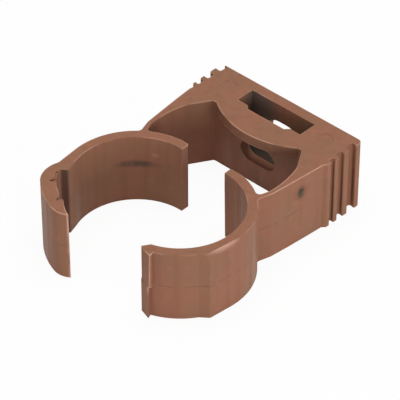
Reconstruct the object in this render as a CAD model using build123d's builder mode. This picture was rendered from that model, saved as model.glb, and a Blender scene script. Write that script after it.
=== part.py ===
from build123d import *
import os
from math import cos, radians, sin

# A self-closing pipe clip, moulded in one piece and modelled open, as it leaves the mould.
# Its wall face lies on the XZ plane, the jaws point along -Y and the pipe runs along Z.
# The mould parts at mid-height, on the XY plane. Sizes are millimetres, angles are degrees.

# Pipe and overall height
pipe_diameter = 28.0
pipe_play = 0.25
clip_height = 17.7

# Jaws, with angles about each jaw's own centre: 0 points sideways, 90 to the wall
jaw_wall = 2.3
jaw_spread = 6.6
jaw_reach = 43.0
ear_angle = 91.5
ear_round = 0.8
ear_draft = 0.3
neck_angle = 49.6
facet_angle = -7.0
facet_length = 5.65
overlap_angle = -33.5
left_jaw_swing = 0.8

# Sloping relief along the upper edge of the right jaw's facet, widest at the facet's corner
relief_setback = 0.65
relief_drop = 3.0
relief_overrun = 0.8
relief_end_angle = 4.0

# Tongue on the right jaw, a little longer below the mould's parting plane
tongue_angle = -78.2
tongue_lower_angle = -78.8
tongue_nose_wall = 0.5
tongue_nose_drop = 0.4
tongue_blunt_angle = 1.0
tongue_bevel_angle = 5.9
tongue_ramp_angle = 3.7

# Barb on the tongue: the upper half stands prouder, has a bevelled edge and tapers upwards
barb_height = 1.5
barb_peak_angle = -68.4
barb_face_angle = -67.2
barb_bevel = 0.4
barb_taper = 0.4
barb_lower_height = 1.2
barb_lower_angle = -69.6

# Catch on the left jaw
latch_play = 0.35
catch_wall_root = 3.5
catch_wall_tip = 3.3
catch_shoulder_angle = -46.0
catch_shoulder_round = 1.8
catch_mouth_angle = -22.0
catch_mouth_flare = 0.5
catch_mouth_round = 0.3
catch_corner_round = 0.9
catch_ramp_angle = -62.0
catch_tooth_angle = -68.3
catch_tooth_length = 0.9
catch_bend_angle = -73.5
catch_tip_angle = -85.4
catch_tip_drop = 1.65
catch_tip_bulge = 0.25
catch_land_angle = -36.0
catch_land_end_angle = -55.0
catch_land_width = 0.35
catch_land_depth = 0.3

# Three-cornered dent beside the land
dent_start_angle = -41.4
dent_end_angle = -48.2
dent_tip_angle = -46.5
dent_reach = 1.25
dent_depth = 0.8

# Arms, which carry the jaws on thin hinges
arm_root_outer = 19.95
arm_root_reach = 0.5
arm_root_inner = 13.2
arm_root_round = 0.8
arm_bow = 0.07
arm_knee = 16.4
arm_knee_reach = 5.2
arm_knee_round = 5.0
arm_inner_bow = 0.5
hinge_lean = 17.8
hinge_length = 3.57
hinge_wall = 1.05
neck_fillet = 1.0
neck_outer_fillet = 1.2

# Base with its pocket, which is open at the top, and its screw holes
base_depth = 11.55
rear_wall = 2.65
pocket_width = 18.5
pocket_depth = 4.85
nut_width = 10.0
nut_play = 0.3
nut_seat_depth = 1.0
screw_slot_length = 10.2
screw_slot_width = 5.5
rear_hole_length = 10.4
rear_hole_width = 8.3

# Draft of the space behind the ears, which widens towards the lower side
wall_draft = 0.9
root_draft = 0.3
arm_draft = 0.85

# Brow over the front wall, on the upper side only
brow_width = 24.0
brow_reach = 3.8
brow_thickness = 2.5

# Coupling teeth: those on the right side fit between those on the next clip's left side
tooth_count = 3
corner_tooth_width = 2.05
corner_tooth_round = 1.2
first_gap = 2.3
gap_ratio = 0.72
first_tooth_width = 1.65
tooth_width_ratio = 0.81
tooth_play = 0.15
tooth_undercut = 0.27
tooth_floor_rear = 19.2
tooth_floor_rise = 0.55
tooth_height_rear = 1.75
tooth_height_front = 0.95
tooth_root_round = 0.5
tooth_tip_round = 0.28
tooth_round_share = 0.4
corner_lip_height = 0.65
corner_lip = 0.3

# Marks of the mould: ejector pins on the upper face, and the gate on the right arm's outer face
pin_mark_depth = 0.1
base_pin_diameter = 4.2
base_pin_spread = 14.2
base_pin_reach = 5.25
arm_pin_diameter = 1.9
arm_pin_spread = 17.15
arm_pin_reach = 14.9
gate_share = 0.59
gate_level = 4.6
gate_diameter = 2.6
gate_depth = 0.35
gate_nub_diameter = 0.8
gate_nub_height = 0.25

# Worked-out sizes
half_height = clip_height / 2
bore_radius = pipe_diameter / 2 + pipe_play
jaw_radius = bore_radius + jaw_wall
wall_middle = (bore_radius + jaw_radius) / 2
nose_radius = jaw_radius - tongue_nose_drop
barb_radius = jaw_radius + barb_height
recess_radius = jaw_radius + latch_play
notch_radius = barb_radius + latch_play
land_radius = recess_radius + catch_land_width
shell_root_radius = recess_radius + catch_wall_root
shell_tip_radius = recess_radius + catch_wall_tip
pocket_front = rear_wall + pocket_depth
nut_seat_front = pocket_front + nut_seat_depth
nut_seat_width = nut_width + 2 * nut_play
upper_face = Plane.XY.offset(half_height)


def jaw_point(radius, angle):
    """A point on the right jaw, by its distance and direction from the jaw's centre."""
    x = jaw_spread + radius * cos(radians(angle))
    y = -jaw_reach + radius * sin(radians(angle))
    return Vector(x, y)


def jaw_arc(start_radius, start, end, end_radius=None):
    """An arc about the right jaw's centre, or nearly so where the radius changes."""
    end_radius = end_radius or start_radius
    middle = jaw_point((start_radius + end_radius) / 2, (start + end) / 2)
    return ThreePointArc(jaw_point(start_radius, start), middle, jaw_point(end_radius, end))


def jaw_tangent(angle):
    """The way round the right jaw's centre, from the wall towards the tips."""
    return Vector(sin(radians(angle)), -cos(radians(angle)))


def to_left(point, height=0):
    """The same place on the left side of the clip."""
    return Vector(-point.X, point.Y, height)


def nearest(vertices, point):
    """The corner of a sketch that lies closest to a point."""
    return vertices.sort_by_distance(point)[0]


# Neck of each jaw, where its arm holds it. The left jaw stands open a little wider.
neck = jaw_point(jaw_radius, neck_angle)
left_neck_axis = Axis((-neck.X, neck.Y, 0), (0, 0, 1))

# Flat facet on the outside of each jaw, which runs on straight from a tangent to its corner
facet_way = jaw_tangent(facet_angle)
facet_start = jaw_point(jaw_radius, facet_angle)
facet_corner = facet_start + facet_way * facet_length

# Plain length of the right jaw, from its ear to where the tongue begins
with BuildSketch() as right_jaw:
    with BuildLine():
        jaw_arc(bore_radius, overlap_angle, ear_angle)
        Line(jaw_point(bore_radius, ear_angle), jaw_point(jaw_radius, ear_angle))
        jaw_arc(jaw_radius, ear_angle, facet_angle)
        Line(facet_start, facet_corner)
        Line(facet_corner, jaw_point(jaw_radius, overlap_angle))
        Line(jaw_point(jaw_radius, overlap_angle), jaw_point(bore_radius, overlap_angle))
    make_face()
    fillet(nearest(right_jaw.vertices(), jaw_point(jaw_radius, ear_angle)), radius=ear_round)

# Relief on the facet: the wide end of a wedge that runs out along the jaw
relief_end = facet_corner + facet_way * relief_overrun
relief_plane = Plane(
    origin=(relief_end.X, relief_end.Y, half_height),
    x_dir=facet_way.rotate(Axis.Z, 90),
    z_dir=facet_way,
)
with BuildSketch(relief_plane) as relief:
    with BuildLine():
        Polyline(
            (-2 * relief_setback, relief_drop),
            (2 * relief_setback, -3 * relief_drop),
            (6 * relief_setback, relief_drop),
            close=True,
        )
    make_face()
relief_tip = jaw_point(jaw_radius, relief_end_angle)


def draw_tongue(end_angle):
    """Tongue that carries the jaw on to the given angle, where a bevel inside leaves a blunt nose."""
    ramp_angle = end_angle + tongue_ramp_angle
    bevel_angle = end_angle + tongue_bevel_angle
    with BuildSketch() as tongue:
        with BuildLine():
            Line(jaw_point(bore_radius, overlap_angle), jaw_point(jaw_radius, overlap_angle))
            jaw_arc(jaw_radius, overlap_angle, ramp_angle)
            Polyline(
                jaw_point(jaw_radius, ramp_angle),
                jaw_point(nose_radius, end_angle + tongue_blunt_angle),
                jaw_point(nose_radius - tongue_nose_wall, end_angle),
                jaw_point(bore_radius, bevel_angle),
            )
            jaw_arc(bore_radius, bevel_angle, overlap_angle)
        make_face()
    return tongue.sketch


def draw_barb(height, end_angle, peak_radius, peak_angle, face_radius, face_angle):
    """Section of the barb: a ramp from the nose to the peak, a bevel and the latching face."""
    with BuildSketch(Plane.XY.offset(height)) as barb:
        with BuildLine():
            Polyline(
                jaw_point(nose_radius, end_angle + tongue_blunt_angle),
                jaw_point(peak_radius, peak_angle),
                jaw_point(face_radius, face_angle),
                jaw_point(wall_middle, face_angle),
                jaw_point(wall_middle, end_angle + tongue_ramp_angle),
                close=True,
            )
        make_face()
    return barb.sketch


def draw_upper_barb(height, taper):
    """Section of the barb's upper half at one height, lower by the given taper."""
    peak_radius = barb_radius - taper
    face_radius = peak_radius - barb_bevel
    return draw_barb(height, tongue_angle, peak_radius, barb_peak_angle, face_radius, barb_face_angle)


def draw_lower_barb():
    """Section of the barb's lower half, which has no bevel."""
    peak_radius = jaw_radius + barb_lower_height
    return draw_barb(0, tongue_lower_angle, peak_radius, barb_lower_angle, jaw_radius, barb_lower_angle)


# Left jaw, drawn on the right and mirrored: the same jaw with the catch, a shell round the tongue's path
catch_root_angle = (facet_angle + overlap_angle) / 2
catch_tip = jaw_point(shell_tip_radius - catch_tip_drop, catch_tip_angle)
mouth_corner = jaw_point(bore_radius + catch_mouth_flare, overlap_angle)
tooth_back = jaw_point(recess_radius, catch_tooth_angle)
tooth_front = tooth_back + jaw_tangent(catch_tooth_angle) * catch_tooth_length
with BuildSketch() as left_jaw:
    add(right_jaw.sketch)
    with BuildLine():
        Line(jaw_point(wall_middle, overlap_angle), jaw_point(recess_radius, overlap_angle))
        jaw_arc(recess_radius, overlap_angle, catch_ramp_angle)
        Line(jaw_point(recess_radius, catch_ramp_angle), jaw_point(notch_radius, catch_tooth_angle))
        Line(jaw_point(notch_radius, catch_tooth_angle), tooth_back)
        Line(tooth_back, tooth_front)
        SagittaArc(tooth_front, catch_tip, catch_tip_bulge)
        shell = jaw_arc(shell_root_radius, catch_shoulder_angle, catch_bend_angle, shell_tip_radius)
        TangentArc(shell @ 1, catch_tip, tangent=shell % 1)
        TangentArc(shell @ 0, facet_corner, tangent=-(shell % 0))
        Line(facet_corner, jaw_point(wall_middle, catch_root_angle))
        Line(jaw_point(wall_middle, catch_root_angle), jaw_point(wall_middle, overlap_angle))
    make_face()
    with BuildLine():
        Polyline(
            jaw_point(bore_radius, catch_mouth_angle),
            mouth_corner,
            jaw_point(bore_radius - catch_mouth_flare, overlap_angle),
            close=True,
        )
    make_face(mode=Mode.SUBTRACT)
    catch_rounds = [
        (facet_corner, catch_shoulder_round),
        (mouth_corner, catch_mouth_round),
        (jaw_point(recess_radius, overlap_angle), catch_corner_round),
    ]
    for corner, corner_round in catch_rounds:
        fillet(nearest(left_jaw.vertices(), corner), radius=corner_round)
    mirror(about=Plane.YZ, mode=Mode.REPLACE)

# Narrow land let into the catch's upper end along the recess
with BuildSketch(upper_face) as catch_land:
    with BuildLine():
        jaw_arc(recess_radius, catch_land_angle, catch_land_end_angle)
        jaw_arc(land_radius, catch_land_end_angle, catch_land_angle)
        for angle in (catch_land_angle, catch_land_end_angle):
            Line(jaw_point(recess_radius, angle), jaw_point(land_radius, angle))
    make_face()
    mirror(about=Plane.YZ, mode=Mode.REPLACE)

# Dent between the land and a tip further out
with BuildSketch(upper_face) as dent:
    with BuildLine():
        Polyline(
            jaw_point(land_radius + dent_reach, dent_tip_angle),
            jaw_point(recess_radius, dent_end_angle),
            jaw_point(recess_radius, dent_start_angle),
            close=True,
        )
    make_face()
    mirror(about=Plane.YZ, mode=Mode.REPLACE)

# Arms, each with a thin hinge where it meets its jaw
neck_core = jaw_point(wall_middle, neck_angle)
hinge_way = Vector(sin(radians(hinge_lean)), cos(radians(hinge_lean)))
hinge_across = hinge_way.rotate(Axis.Z, 90) * hinge_wall
hinge_outer_end = neck + hinge_way * hinge_length
hinge_inner_start = neck + hinge_across
hinge_inner_end = hinge_outer_end + hinge_across
arm_root = Vector(arm_root_outer, -base_depth - arm_root_reach)
arm_outer = SagittaArc(hinge_outer_end, arm_root, -arm_bow)
with BuildSketch() as arms:
    with BuildLine():
        add(arm_outer)
        Polyline(
            arm_root,
            (arm_root_inner, -pocket_front),
            (arm_root_inner, -base_depth),
            hinge_inner_end,
            hinge_inner_start,
            neck_core,
            neck,
            hinge_outer_end,
        )
    make_face()
    mirror(about=Plane.YZ)


def tooth_floor(reach):
    """Half the base's width between the teeth, at a distance from the wall."""
    return tooth_floor_rear + tooth_floor_rise * reach / base_depth


def tooth_height(reach):
    """How far the teeth stand proud of the floor, at a distance from the wall."""
    return tooth_height_rear + (tooth_height_front - tooth_height_rear) * reach / base_depth


def floor_corner(side, reach, gap):
    """Corner at the root of a tooth, with a round that suits the gap beside it."""
    size = min(gap, tooth_height(reach))
    return side * tooth_floor(reach), -reach, min(tooth_root_round, tooth_round_share * size)


def tip_corner(side, reach, width):
    """Corner at the tip of a tooth, with a round that suits its width."""
    size = min(width, tooth_height(reach))
    x = side * (tooth_floor(reach) + tooth_height(reach))
    return x, -reach, min(tooth_tip_round, tooth_round_share * size)


# Right teeth get closer together towards the front, and the left ones fill their gaps
right_spans = [(0, corner_tooth_width)]
for index in range(tooth_count):
    tooth_rear = right_spans[-1][1] + first_gap * gap_ratio**index
    right_spans.append((tooth_rear, tooth_rear + first_tooth_width * tooth_width_ratio**index))
right_gaps = [(before[1], after[0]) for before, after in zip(right_spans, right_spans[1:])]
left_spans = [(rear + tooth_play, front - tooth_play) for rear, front in right_gaps]

# Outline of the right side from the wall to the arm: each tooth's front flank is undercut
corner_tip = tooth_floor(0) + tooth_height(0)
right_side = [
    (corner_tip, 0, min(corner_tooth_round, tooth_round_share * 2 * corner_tooth_width)),
    tip_corner(1, corner_tooth_width, corner_tooth_width / 2),
]
for (gap_rear, gap_front), (rear, front) in zip(right_gaps, right_spans[1:]):
    gap = gap_front - gap_rear
    right_side.append(floor_corner(1, gap_rear - tooth_undercut, gap))
    right_side.append(floor_corner(1, rear, gap))
    right_side.append(tip_corner(1, rear, front - rear))
    right_side.append(tip_corner(1, front, front - rear))
right_side.append((arm_root.X, arm_root.Y, 0))

# Outline of the left side from the arm to the wall, where it ends in a small lip
lip_tip = tooth_floor(0) + corner_lip_height
left_side = [(-arm_root.X, arm_root.Y, 0)]
for rear, front in reversed(left_spans):
    left_side.append(floor_corner(-1, front, front - rear))
    left_side.append(tip_corner(-1, front, front - rear))
    left_side.append(tip_corner(-1, rear, front - rear))
    left_side.append(floor_corner(-1, rear + tooth_undercut, front - rear))
left_side.append((-tooth_floor(corner_lip), -corner_lip, 0))
left_side.append((-lip_tip, -corner_lip, 0))
left_side.append((-lip_tip, 0, 0))

base_front = [(arm_root_inner, -base_depth, 0), (-arm_root_inner, -base_depth, 0)]
base_outline = right_side + base_front + left_side
with BuildSketch() as base:
    with BuildLine():
        FilletPolyline(
            [(x, y) for x, y, corner_round in base_outline],
            radius=[corner_round for x, y, corner_round in base_outline],
            close=True,
        )
    make_face()

# Whole plan of the moulding without the tongue, with round corners at the necks
with BuildSketch() as plan:
    add(base.sketch)
    add(arms.sketch)
    add(right_jaw.sketch)
    add(left_jaw.sketch.rotate(left_neck_axis, -left_jaw_swing))
    for corner, corner_round in ((hinge_inner_start, neck_fillet), (neck, neck_outer_fillet)):
        for place in (corner, to_left(corner)):
            fillet(nearest(plan.vertices(), place), radius=corner_round)


def draw_front_space(height, draft_share):
    """Section of the space between the front wall and the hinges, at one height."""
    wall_y = -base_depth + wall_draft * draft_share
    root = Vector(arm_root_inner + root_draft * draft_share, wall_y)
    knee = Vector(arm_knee + arm_draft * draft_share, -base_depth - arm_knee_reach)
    with BuildSketch(Plane.XY.offset(height)) as section:
        with BuildLine():
            Line(root, knee)
            SagittaArc(knee, hinge_inner_end, arm_inner_bow)
            Line(hinge_inner_end, to_left(hinge_inner_end))
            SagittaArc(to_left(hinge_inner_end), to_left(knee), arm_inner_bow)
            Line(to_left(knee), to_left(root))
            Line(to_left(root), root)
        make_face()
        for corner, corner_round in ((knee, arm_knee_round), (root, arm_root_round)):
            for place in (corner, to_left(corner)):
                fillet(nearest(section.vertices(), place + Vector(0, 0, height)), radius=corner_round)
    return section.sketch


def draw_ear_gap(height, draft):
    """Section of the gap between the ears at one height, wider by the draft on each side."""
    ear_tip = jaw_point(jaw_radius, ear_angle)
    with BuildSketch(Plane.XY.offset(height)) as section:
        with Locations((0, ear_tip.Y)):
            Rectangle(2 * (ear_tip.X + draft), 4 * jaw_wall)
    return section.sketch


# Pocket in the base, deeper in the middle where a nut sits level with the screw slot
pocket_reach = half_height + nut_seat_width / 2
with BuildSketch(upper_face) as pocket:
    with Locations((0, -rear_wall)):
        Rectangle(pocket_width, pocket_depth, align=(Align.CENTER, Align.MAX))
    with BuildLine():
        Polyline(
            (-nut_seat_width / 2 - nut_seat_depth, -pocket_front),
            (-nut_seat_width / 2, -nut_seat_front),
            (nut_seat_width / 2, -nut_seat_front),
            (nut_seat_width / 2 + nut_seat_depth, -pocket_front),
            close=True,
        )
    make_face()

# Brow along the top of the front wall
with BuildSketch(upper_face) as brow:
    with BuildLine():
        ThreePointArc(
            (-brow_width / 2, -base_depth),
            (0, -base_depth - brow_reach),
            (brow_width / 2, -base_depth),
        )
        Line((brow_width / 2, -base_depth), (brow_width / 2, -nut_seat_front))
        Line((brow_width / 2, -nut_seat_front), (-brow_width / 2, -nut_seat_front))
        Line((-brow_width / 2, -nut_seat_front), (-brow_width / 2, -base_depth))
    make_face()

# Screw slot through the front wall, and the larger hole through the wall face
with BuildSketch(Plane.XZ.offset(pocket_front)) as screw_slot:
    SlotOverall(screw_slot_length, screw_slot_width)
with BuildSketch(Plane.XZ) as rear_hole:
    SlotOverall(rear_hole_length, rear_hole_width)

# Ejector pin marks, and the gate's dimple with the nub that the sprue left in it
with BuildSketch(upper_face) as pin_marks:
    with Locations((base_pin_spread, -base_pin_reach), (-base_pin_spread, -base_pin_reach)):
        Circle(base_pin_diameter / 2)
    with Locations((arm_pin_spread, -arm_pin_reach), (-arm_pin_spread, -arm_pin_reach)):
        Circle(arm_pin_diameter / 2)
gate_radius = ((gate_diameter / 2) ** 2 + gate_depth**2) / (2 * gate_depth)
gate_place = arm_outer @ gate_share + Vector(0, 0, gate_level)
gate_plane = Plane(origin=gate_place, z_dir=(arm_outer % gate_share).rotate(Axis.Z, -90))
with BuildSketch(gate_plane.offset(-2 * gate_depth)) as gate_nub:
    Circle(gate_nub_diameter / 2)

with BuildPart() as pipe_clip:
    extrude(plan.sketch, amount=half_height, both=True)
    extrude(draw_tongue(tongue_angle), amount=half_height)
    extrude(draw_tongue(tongue_lower_angle), amount=-half_height)
    loft([draw_upper_barb(0, 0), draw_upper_barb(half_height, barb_taper)], ruled=True)
    extrude(draw_lower_barb(), amount=-half_height)
    loft(
        [draw_front_space(-half_height, 1), draw_front_space(half_height, 0)],
        ruled=True,
        mode=Mode.SUBTRACT,
    )
    extrude(brow.sketch, amount=-brow_thickness)
    extrude(pocket.sketch, amount=-pocket_reach, mode=Mode.SUBTRACT)
    extrude(screw_slot.sketch, amount=base_depth - pocket_front, mode=Mode.SUBTRACT)
    extrude(rear_hole.sketch, amount=rear_wall, mode=Mode.SUBTRACT)
    for mark, depth in ((catch_land, catch_land_depth), (dent, dent_depth)):
        extrude(mark.sketch.rotate(left_neck_axis, -left_jaw_swing), amount=-depth, mode=Mode.SUBTRACT)
    loft(
        [draw_ear_gap(-half_height, ear_draft), draw_ear_gap(half_height, 0)],
        ruled=True,
        mode=Mode.SUBTRACT,
    )
    loft(
        [relief.sketch.face(), Vertex(relief_tip.X, relief_tip.Y, half_height)],
        ruled=True,
        mode=Mode.SUBTRACT,
    )
    extrude(pin_marks.sketch, amount=-pin_mark_depth, mode=Mode.SUBTRACT)
    with Locations(gate_plane.offset(gate_radius - gate_depth)):
        Sphere(gate_radius, mode=Mode.SUBTRACT)
    extrude(gate_nub.sketch, amount=gate_depth + gate_nub_height)

os.makedirs("parts", exist_ok=True)
pipe_clip.part.label = "pipe_clip"
export_step(pipe_clip.part, "parts/pipe_clip.step")
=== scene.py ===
from math import cos, radians, sin

import bpy
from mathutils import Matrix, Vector


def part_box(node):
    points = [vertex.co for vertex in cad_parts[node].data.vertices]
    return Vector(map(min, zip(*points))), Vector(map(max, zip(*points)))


# Looks of a one-piece moulded pipe clip, lying on its lower end face. Lengths are metres.
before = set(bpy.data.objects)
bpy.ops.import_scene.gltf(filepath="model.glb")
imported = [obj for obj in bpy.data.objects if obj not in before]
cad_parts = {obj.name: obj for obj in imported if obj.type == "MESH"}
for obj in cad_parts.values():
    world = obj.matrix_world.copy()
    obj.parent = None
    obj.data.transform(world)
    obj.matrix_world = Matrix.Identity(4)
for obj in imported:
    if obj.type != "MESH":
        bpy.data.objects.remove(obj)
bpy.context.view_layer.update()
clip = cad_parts["pipe_clip"]
floor_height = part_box("pipe_clip")[0].z

# View of the photograph
view_azimuth = radians(43.0)
view_elevation = radians(39.57)
view_distance = 0.5897
view_target = Vector((-0.00243, -0.02725, -0.00444))
lens_mm = 240.2
sensor_mm = 36.0

# Floor and surroundings
floor_size = 4.0
floor_gap = 0.00002
floor_colour = (0.9, 0.9, 0.9, 1)
floor_glow = 0.93
world_colour = (1.0, 1.0, 1.0, 1)
world_strength = 0.33

# Square lamps, with their power in watts
softboxes = {
    "top": {"place": (0, 0, 0.8), "size": 0.6, "power": 4.5},
    "top_front": {"place": (0, -0.5, 0.65), "size": 0.5, "power": 0.1},
    "right_low": {"place": (0.73, -0.22, 0.07), "size": 0.25, "power": 2.45},
    "right_front": {"place": (0.45, -0.45, 0.55), "size": 0.4, "power": 0.1},
    "left_front": {"place": (-0.5, -0.5, 0.4), "size": 0.3, "power": 0.1},
}

# Colours of the plastic: tones that run into each other, pale edges that are partly wear and partly
# painted highlight, and painted shade in corners and in the pocket
red_brown = (0.318, 0.139, 0.085, 1)
green_brown = (0.290, 0.141, 0.083, 1)
pale_brown = (0.350, 0.170, 0.108, 1)
deep_brown = (0.255, 0.112, 0.066, 1)
# Pale edges: partly wear, partly painted highlight
wear_and_highlight_brown = (0.700, 0.400, 0.290, 1)
# Dark of the parting line, and painted shade in corners and in the catch's recess
joint_and_shade_brown = (0.060, 0.044, 0.036, 1)
# Painted shade in the pocket
pocket_grey = (0.050, 0.046, 0.039, 1)

# Noise in the plastic: waves to the metre, their stretch along the draw, and how often they break up
tone_scale = 110
cloud_scale = 480
band_scale = 620
grain_scale = 3800
ripple_scale = 300
rub_and_highlight_scale = 160
streak_scale = 960
draw_stretch = (1, 1, 0.05)
coarse_detail = 2
fine_detail = 3

# Where each tone sets in and is full, as levels of its noise, and its largest share
tone_step = (0.38, 0.62)
cloud_step = (0.5, 0.75)
cloud_share = 0.35
band_step = (0.45, 0.75)
band_share = 0.4
grain_step = (0.5, 0.8)
grain_share = 0.4

# Relief and gloss of the surface
edge_round = 0.00012
edge_samples = 8
grain_height = 0.000012
ripple_height = 0.00002
line_depth = 0.00003
roughness_step = (0.35, 0.65)
roughness_levels = (0.40, 0.58)
specular_level = 0.08

# Painted shade in the corners, in patches
corner_reach = 0.0014
corner_step = (0.75, 0.35)
corner_shade_strength = 0.2
patch_step = (0.3, 0.6)
patch_levels = (0.5, 1)

# Painted shade in deep places, which grows downwards
pocket_reach = 0.012
pocket_step = (0.45, 0.15)
pocket_height_step = (0.004, -0.002)
pocket_height_levels = (0.4, 1)
pocket_strength = 0.9

# Pale edges: partly wear, partly painted highlight
wear_and_highlight_reach = 0.0005
wear_and_highlight_step = (0.85, 0.5)
wear_and_highlight_strength = 0.8
rub_and_highlight_step = (0.42, 0.6)
rub_and_highlight_levels = (0.05, 0.6)

# Edges with the strongest painted highlight, each with its middle and half sizes
highlighted_edges = {
    "brow": ((0.0012, -0.0148, 0.0088), (0.0085, 0.0025, 0.0018)),
    "right_arm": ((0.0190, -0.0195, 0.0088), (0.0035, 0.0125, 0.0018)),
    "catch_tip": ((-0.0100, -0.0622, 0.0070), (0.0045, 0.0030, 0.0060)),
    "tongue": ((0.0125, -0.0590, 0.0045), (0.0018, 0.0018, 0.0080)),
}
highlighted_edge_step = (0, 0.4)

# Parting line at half height, broken up, on the faces that look away from the pipe
pipe_shift = (0, 0.043, 0)
outside_step = (0.004, 0.008)
parting_step = (0.00014, 0.000035)
broken_step = (0.42, 0.58)
parting_strength = 0.5

# Kinds of surface that a mark keeps to: grainy, streaky, upright walls or sloping faces
grainy_step = (0.3, 0.55)
grainy_levels = (0.6, 1)
streak_step = (0.35, 0.6)
streak_levels = (0.7, 1)
upright_step = (0.5, 0.2)
slope_start_step = (0.08, 0.2)
slope_end_step = (0.75, 0.5)

# Marks on the clip, from the lowest layer up: soft spots with their middles, half sizes and turns
marks = {
    "gate_halo": {
        "place": (0.0194, -0.0185, 0.0047),
        "size": (0.0026, 0.0030, 0.0026),
        "turn": 0.0,
        "step": (0, 0.5),
        "strength": 0.6,
        "colour": (0.275, 0.100, 0.060, 1),
        "keeps_to": "all",
    },
    "gate_core": {
        "place": (0.0194, -0.0185, 0.0047),
        "size": (0.0018, 0.0014, 0.0019),
        "turn": 0.0,
        "step": (0, 0.45),
        "strength": 1.0,
        "colour": (0.110, 0.085, 0.056, 1),
        "keeps_to": "grainy",
    },
    # Painted shade in the catch's recess
    "catch_recess_shade": {
        "place": (-0.0199, -0.0515, 0.0),
        "size": (0.0013, 0.0013, 0.0400),
        "turn": 0.0,
        "step": (0, 0.6),
        "strength": 0.7,
        "colour": joint_and_shade_brown,
        "keeps_to": "upright",
    },
    # Painted shade on the pocket's floor
    "pocket_floor_shade": {
        "place": (0.0, -0.0050, -0.0053),
        "size": (0.0140, 0.0060, 0.0030),
        "turn": 0.0,
        "step": (0, 0.3),
        "strength": 0.85,
        "colour": pocket_grey,
        "keeps_to": "all",
    },
    # Painted shade at the pocket's left end
    "pocket_left_end_shade": {
        "place": (-0.0078, -0.0030, 0.0050),
        "size": (0.0080, 0.0030, 0.0090),
        "turn": 0.0,
        "step": (0, 0.6),
        "strength": 0.6,
        "colour": (0.115, 0.120, 0.112, 1),
        "keeps_to": "upright",
    },
    # Painted shade of a parting step on the left jaw's inside
    "left_jaw_step_shade": {
        "place": (-0.0163, -0.0328, 0.00145),
        "size": (0.0068, 0.0030, 0.0014),
        "turn": radians(40.7),
        "step": (0, 0.8),
        "strength": 0.8,
        "colour": (0.080, 0.058, 0.046, 1),
        "keeps_to": "streaky",
    },
    "left_jaw_fleck": {
        "place": (-0.0130, -0.0301, 0.0042),
        "size": (0.0013, 0.0013, 0.0008),
        "turn": radians(40.7),
        "step": (0, 0.8),
        "strength": 0.22,
        "colour": wear_and_highlight_brown,
        "keeps_to": "all",
    },
    # Painted highlight on the relief at the top of the right jaw's facet
    "relief_highlight": {
        "place": (0.0214, -0.0462, 0.0092),
        "size": (0.0024, 0.0070, 0.0028),
        "turn": radians(-9),
        "step": (0.1, 0.6),
        "strength": 0.9,
        "colour": (0.600, 0.360, 0.265, 1),
        "keeps_to": "sloping",
    },
}

# Numbers of a colour mix node's sockets, because their names repeat
mix_factor = 0
mix_under = 6
mix_over = 7
mix_result = 2


def look_at(thing, target):
    """Turns a lamp or camera, which faces along its own -Z, towards a point."""
    direction = Vector(target) - thing.location
    thing.rotation_euler = direction.to_track_quat("-Z", "Y").to_euler()


def add_object(name, data):
    """Puts new data into the scene as an object."""
    thing = bpy.data.objects.new(name, data)
    bpy.context.scene.collection.objects.link(thing)
    return thing


def add_camera():
    """Camera at the photograph's viewing angle."""
    camera = add_object("camera", bpy.data.cameras.new("camera"))
    toward_camera = Vector((
        sin(view_azimuth) * cos(view_elevation),
        -cos(view_azimuth) * cos(view_elevation),
        sin(view_elevation),
    ))
    camera.location = view_target + view_distance * toward_camera
    camera.data.lens = lens_mm
    camera.data.sensor_width = sensor_mm
    look_at(camera, view_target)
    bpy.context.scene.camera = camera


def add_softbox(name, place, size, power):
    """Square white area lamp that shines on the clip."""
    lamp = bpy.data.lights.new(name, "AREA")
    lamp.size = size
    lamp.energy = power
    box = add_object(name, lamp)
    box.location = place
    look_at(box, view_target)


def new_material(name):
    """Empty node material; gives it and its node tree."""
    material = bpy.data.materials.new(name)
    material.use_nodes = True
    material.node_tree.nodes.clear()
    return material, material.node_tree


def add_node(tree, kind, inputs, **settings):
    """Adds a node. Each input takes a plain value or the output of another node."""
    node = tree.nodes.new(kind)
    for setting, choice in settings.items():
        setattr(node, setting, choice)
    for name, value in inputs.items():
        if isinstance(value, bpy.types.NodeSocket):
            tree.links.new(value, node.inputs[name])
        else:
            node.inputs[name].default_value = value
    return node


def calculate(tree, operation, *numbers):
    """Sum, product or the like of one or two numbers."""
    return add_node(tree, "ShaderNodeMath", dict(enumerate(numbers)), operation=operation).outputs["Value"]


def times(tree, *shares):
    """Product of several numbers."""
    product = shares[0]
    for share in shares[1:]:
        product = calculate(tree, "MULTIPLY", product, share)
    return product


def ramp(tree, value, step, levels=(0.0, 1.0)):
    """Goes softly from the first level to the second while the value crosses the step."""
    inputs = {
        "Value": value,
        "From Min": step[0],
        "From Max": step[1],
        "To Min": levels[0],
        "To Max": levels[1],
    }
    soft_step = add_node(tree, "ShaderNodeMapRange", inputs, interpolation_type="SMOOTHSTEP")
    return soft_step.outputs["Result"]


def noise(tree, place, scale, detail):
    """Cloudy noise, from 0 to 1 and mostly near a half."""
    inputs = {"Vector": place, "Scale": scale, "Detail": detail}
    return add_node(tree, "ShaderNodeTexNoise", inputs).outputs["Fac"]


def blend(tree, share, under, over):
    """Lays one colour over another."""
    inputs = {mix_factor: share, mix_under: under, mix_over: over}
    return add_node(tree, "ShaderNodeMix", inputs, data_type="RGBA").outputs[mix_result]


def mix_shaders(tree, share, first, second):
    """Goes from one shader to another as the share goes from 0 to 1."""
    inputs = dict(enumerate((share, first, second)))
    return add_node(tree, "ShaderNodeMixShader", inputs).outputs["Shader"]


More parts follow.
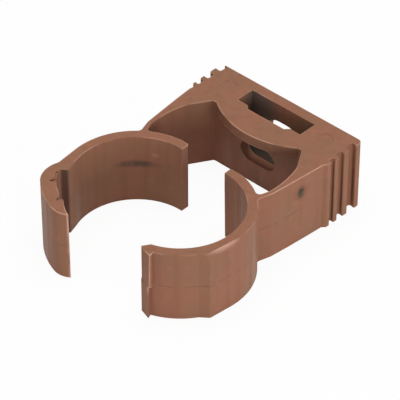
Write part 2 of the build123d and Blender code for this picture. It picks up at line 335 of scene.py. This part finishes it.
def spot(tree, place, centre, half_sizes, turn=0.0):
    """Soft egg-shaped spot: 1 at its centre and 0 outside it."""
    inputs = {"Vector": place, "Location": centre, "Rotation": (0, 0, turn), "Scale": half_sizes}
    inside = add_node(tree, "ShaderNodeMapping", inputs, vector_type="TEXTURE").outputs["Vector"]
    fade = add_node(tree, "ShaderNodeTexGradient", {"Vector": inside}, gradient_type="SPHERICAL")
    return fade.outputs["Fac"]


def openness(tree, reach, inside=False):
    """How open a point's surroundings are, from 0 to 1, either outside the surface or inside the solid."""
    inputs = {"Distance": reach}
    sky = add_node(tree, "ShaderNodeAmbientOcclusion", inputs, only_local=True, inside=inside)
    return sky.outputs["AO"]


def floor_material():
    """White table: glows to the camera, still takes the shadow, and is clear from below."""
    material, tree = new_material("white_table")
    diffuse = add_node(tree, "ShaderNodeBsdfDiffuse", {"Color": floor_colour}).outputs["BSDF"]
    glow = add_node(tree, "ShaderNodeEmission", {}).outputs["Emission"]
    rays = add_node(tree, "ShaderNodeLightPath", {}).outputs
    camera_or_gloss = calculate(tree, "MAXIMUM", rays["Is Camera Ray"], rays["Is Glossy Ray"])
    seen = calculate(tree, "MAXIMUM", camera_or_gloss, rays["Is Transmission Ray"])
    above = mix_shaders(tree, times(tree, seen, floor_glow), diffuse, glow)
    below = add_node(tree, "ShaderNodeBsdfTransparent", {}).outputs["BSDF"]
    under_side = add_node(tree, "ShaderNodeNewGeometry", {}).outputs["Backfacing"]
    add_node(tree, "ShaderNodeOutputMaterial", {"Surface": mix_shaders(tree, under_side, above, below)})
    return material


def add_floor():
    """Table top under the clip."""
    half = floor_size / 2
    mesh = bpy.data.meshes.new("table")
    corners = [(-half, -half, 0), (half, -half, 0), (half, half, 0), (-half, half, 0)]
    mesh.from_pydata(corners, [], [(0, 1, 2, 3)])
    table = add_object("table", mesh)
    table.location.z = floor_height - floor_gap
    mesh.materials.append(floor_material())


def add_world():
    """Even pale surroundings."""
    world = bpy.data.worlds.new("studio")
    world.use_nodes = True
    background = world.node_tree.nodes["Background"]
    background.inputs["Color"].default_value = world_colour
    background.inputs["Strength"].default_value = world_strength
    bpy.context.scene.world = world


def clean_plastic(tree, place, drawn, clouds, grain):
    """Colour of the plastic itself: cloudy tones, bands along the draw and fine grain."""
    tone = ramp(tree, noise(tree, place, tone_scale, coarse_detail), tone_step)
    bands = noise(tree, drawn, band_scale, coarse_detail)
    colour = blend(tree, tone, red_brown, green_brown)
    colour = blend(tree, ramp(tree, clouds, cloud_step, (0, cloud_share)), colour, pale_brown)
    colour = blend(tree, ramp(tree, bands, band_step, (0, band_share)), colour, deep_brown)
    return blend(tree, ramp(tree, grain, grain_step, (0, grain_share)), colour, pale_brown)


def add_painted_shade(tree, colour, height, clouds):
    """Painted shade in the corners and in deep places."""
    corners = ramp(tree, openness(tree, corner_reach), corner_step, (0, corner_shade_strength))
    patches = ramp(tree, clouds, patch_step, patch_levels)
    colour = blend(tree, times(tree, corners, patches), colour, joint_and_shade_brown)
    deep = ramp(tree, openness(tree, pocket_reach), pocket_step)
    low = ramp(tree, height, pocket_height_step, pocket_height_levels)
    return blend(tree, times(tree, deep, low, pocket_strength), colour, pocket_grey)


def add_wear_and_highlights(tree, colour, place):
    """Pale edges, partly wear and partly painted highlight, strongest on the listed edges."""
    edge = ramp(tree, openness(tree, wear_and_highlight_reach, inside=True), wear_and_highlight_step)
    rubbed_and_lit = ramp(tree, noise(tree, place, rub_and_highlight_scale, fine_detail), rub_and_highlight_step, rub_and_highlight_levels)
    for centre, half_sizes in highlighted_edges.values():
        at_edge = ramp(tree, spot(tree, place, centre, half_sizes), highlighted_edge_step)
        rubbed_and_lit = calculate(tree, "MAXIMUM", rubbed_and_lit, at_edge)
    return blend(tree, times(tree, edge, rubbed_and_lit, wear_and_highlight_strength), colour, wear_and_highlight_brown)


def add_marks(tree, colour, place, normal, grain):
    """Stains, flecks, painted shade and a painted highlight, each in its place and on its kind of surface.
    """
    slope = add_node(tree, "ShaderNodeSeparateXYZ", {"Vector": normal}).outputs["Z"]
    streaks = noise(tree, place, streak_scale, fine_detail)
    surfaces = {
        "all": 1.0,
        "grainy": ramp(tree, grain, grainy_step, grainy_levels),
        "streaky": ramp(tree, streaks, streak_step, streak_levels),
        "upright": ramp(tree, slope, upright_step),
        "sloping": times(tree, ramp(tree, slope, slope_start_step), ramp(tree, slope, slope_end_step)),
    }
    for mark in marks.values():
        nearness = spot(tree, place, mark["place"], mark["size"], mark["turn"])
        share = ramp(tree, nearness, mark["step"], (0, mark["strength"]))
        colour = blend(tree, times(tree, share, surfaces[mark["keeps_to"]]), colour, mark["colour"])
    return colour


def parting_line(tree, place, height, normal):
    """Share of the parting line at a point: 1 on it and 0 away from it."""
    from_pipe = add_node(tree, "ShaderNodeMapping", {"Vector": place, "Location": pipe_shift})
    vectors = dict(enumerate((from_pipe.outputs["Vector"], normal)))
    outward = add_node(tree, "ShaderNodeVectorMath", vectors, operation="DOT_PRODUCT").outputs["Value"]
    outside = ramp(tree, outward, outside_step)
    at_height = ramp(tree, calculate(tree, "ABSOLUTE", height), parting_step)
    broken = ramp(tree, noise(tree, place, cloud_scale, coarse_detail), broken_step)
    return times(tree, at_height, broken, outside)


def bump(tree, height, distance, normal, invert=False):
    """Lays a fine relief over the surface; gives its new normal."""
    inputs = {"Height": height, "Distance": distance, "Normal": normal}
    return add_node(tree, "ShaderNodeBump", inputs, invert=invert).outputs["Normal"]


def surface_relief(tree, place, drawn, parting):
    """Soft edges, ripples along the draw, fine grain and the groove of the parting line."""
    soft_edges = add_node(tree, "ShaderNodeBevel", {"Radius": edge_round}, samples=edge_samples)
    ripples = noise(tree, drawn, ripple_scale, coarse_detail)
    grain = noise(tree, place, grain_scale, fine_detail)
    rippled = bump(tree, ripples, ripple_height, soft_edges.outputs["Normal"])
    grained = bump(tree, grain, grain_height, rippled)
    return bump(tree, parting, line_depth, grained, invert=True)


def plastic_material():
    """Copper-brown moulded plastic, satin, with pale edges of wear and painted highlight, painted shade,
    marks and parting line.
    """
    material, tree = new_material("brown_plastic")
    place = add_node(tree, "ShaderNodeTexCoord", {}).outputs["Object"]
    normal = add_node(tree, "ShaderNodeNewGeometry", {}).outputs["Normal"]
    height = add_node(tree, "ShaderNodeSeparateXYZ", {"Vector": place}).outputs["Z"]
    stretch = {"Vector": place, "Scale": draw_stretch}
    drawn = add_node(tree, "ShaderNodeMapping", stretch).outputs["Vector"]
    clouds = noise(tree, place, cloud_scale, fine_detail)
    grain = noise(tree, place, grain_scale, coarse_detail)
    parting = parting_line(tree, place, height, normal)

    colour = clean_plastic(tree, place, drawn, clouds, grain)
    colour = add_painted_shade(tree, colour, height, clouds)
    colour = add_wear_and_highlights(tree, colour, place)
    colour = blend(tree, times(tree, parting, parting_strength), colour, joint_and_shade_brown)
    colour = add_marks(tree, colour, place, normal, grain)
    gloss_bands = noise(tree, drawn, cloud_scale, fine_detail)
    plastic = add_node(tree, "ShaderNodeBsdfPrincipled", {
        "Base Color": colour,
        "Roughness": ramp(tree, gloss_bands, roughness_step, roughness_levels),
        "Specular IOR Level": specular_level,
        "Normal": surface_relief(tree, place, drawn, parting),
    })
    add_node(tree, "ShaderNodeOutputMaterial", {"Surface": plastic.outputs["BSDF"]})
    return material


def dress_clip():
    """Gives the clip its plastic."""
    clip.data.materials.clear()
    clip.data.materials.append(plastic_material())


dress_clip()
add_floor()
add_world()
for softbox_name, softbox in softboxes.items():
    add_softbox(softbox_name, **softbox)
add_camera()
bpy.context.scene.view_settings.view_transform = "Standard"
